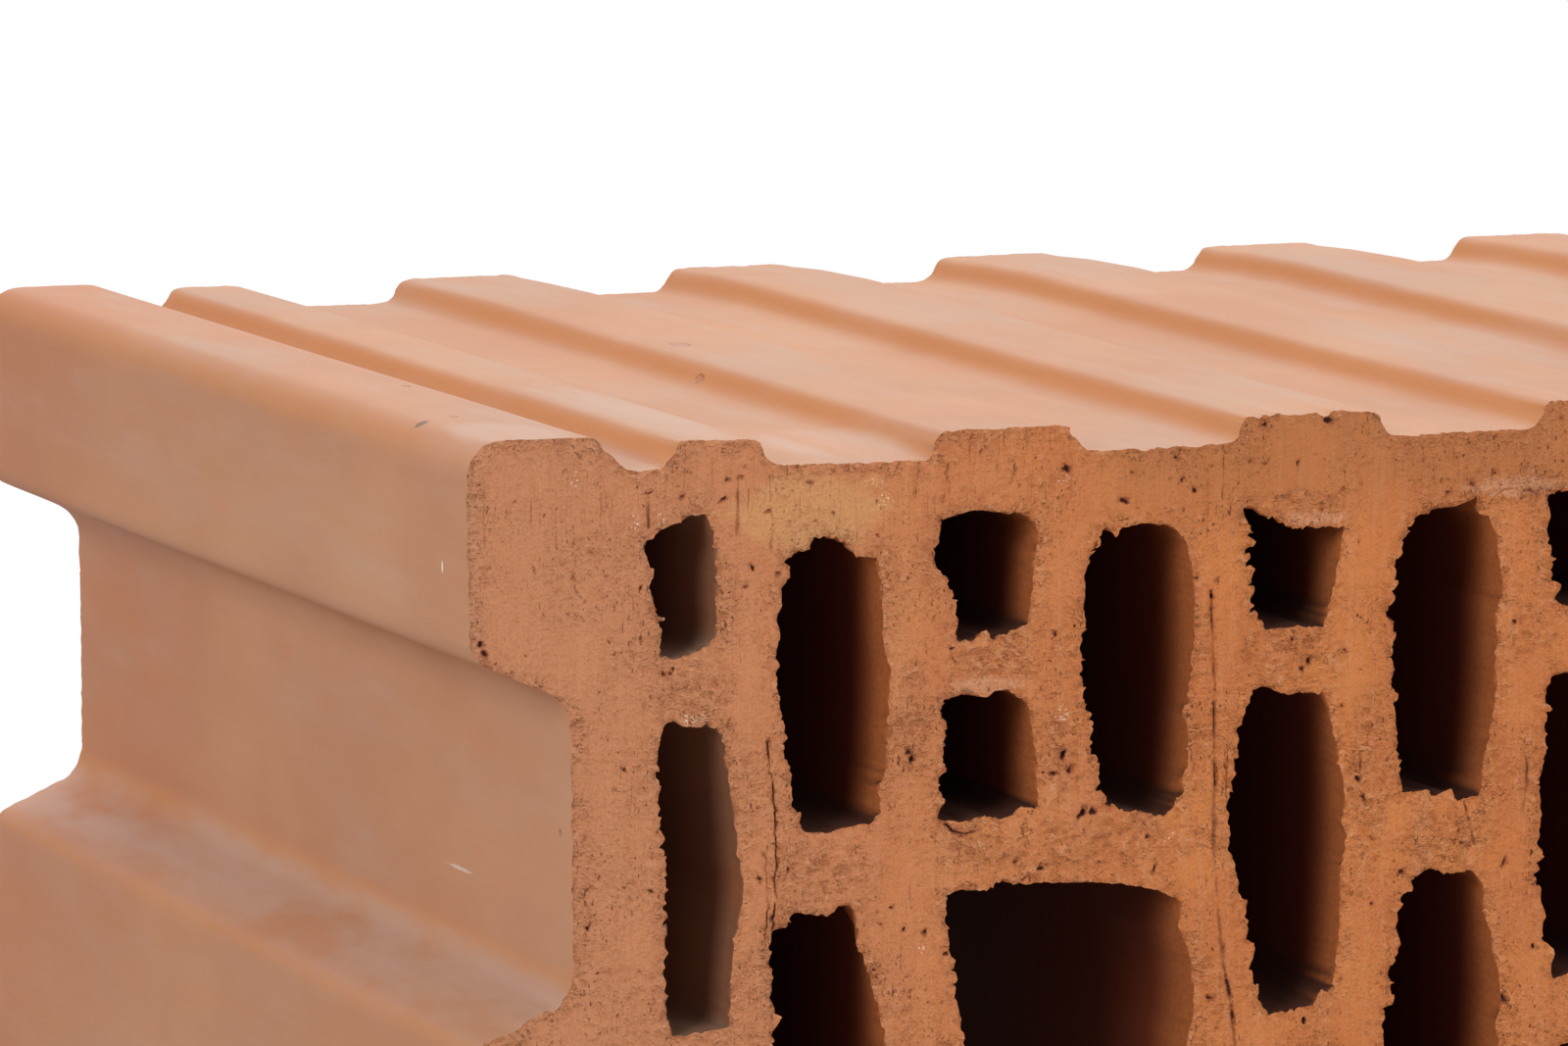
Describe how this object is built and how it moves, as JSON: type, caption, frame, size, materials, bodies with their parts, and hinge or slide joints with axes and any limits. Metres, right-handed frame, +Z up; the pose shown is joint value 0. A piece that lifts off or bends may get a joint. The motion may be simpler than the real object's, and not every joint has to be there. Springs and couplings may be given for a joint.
{
  "type": "hollow clay wall block",
  "caption": "Extruded fired-clay wall block, vertically perforated, with ribbed wall faces, grooves at one end, tongues at the other and grip holes.",
  "frame": {"origin": "centre of the block's footprint, on the surface that it lies on", "axes": "+X along the wall from the groove end to the tongue end, +Y along the extrusion away from the viewer, +Z up through the wall's thickness"},
  "size_m": [0.385, 0.238, 0.25],
  "materials": {
    "fired_clay": "unglazed fired clay: smooth extruded skin, rough wire-cut ends"
  },
  "bodies": {
    "root": {"clay_block": "fired_clay"}
  },
  "joints": []
}
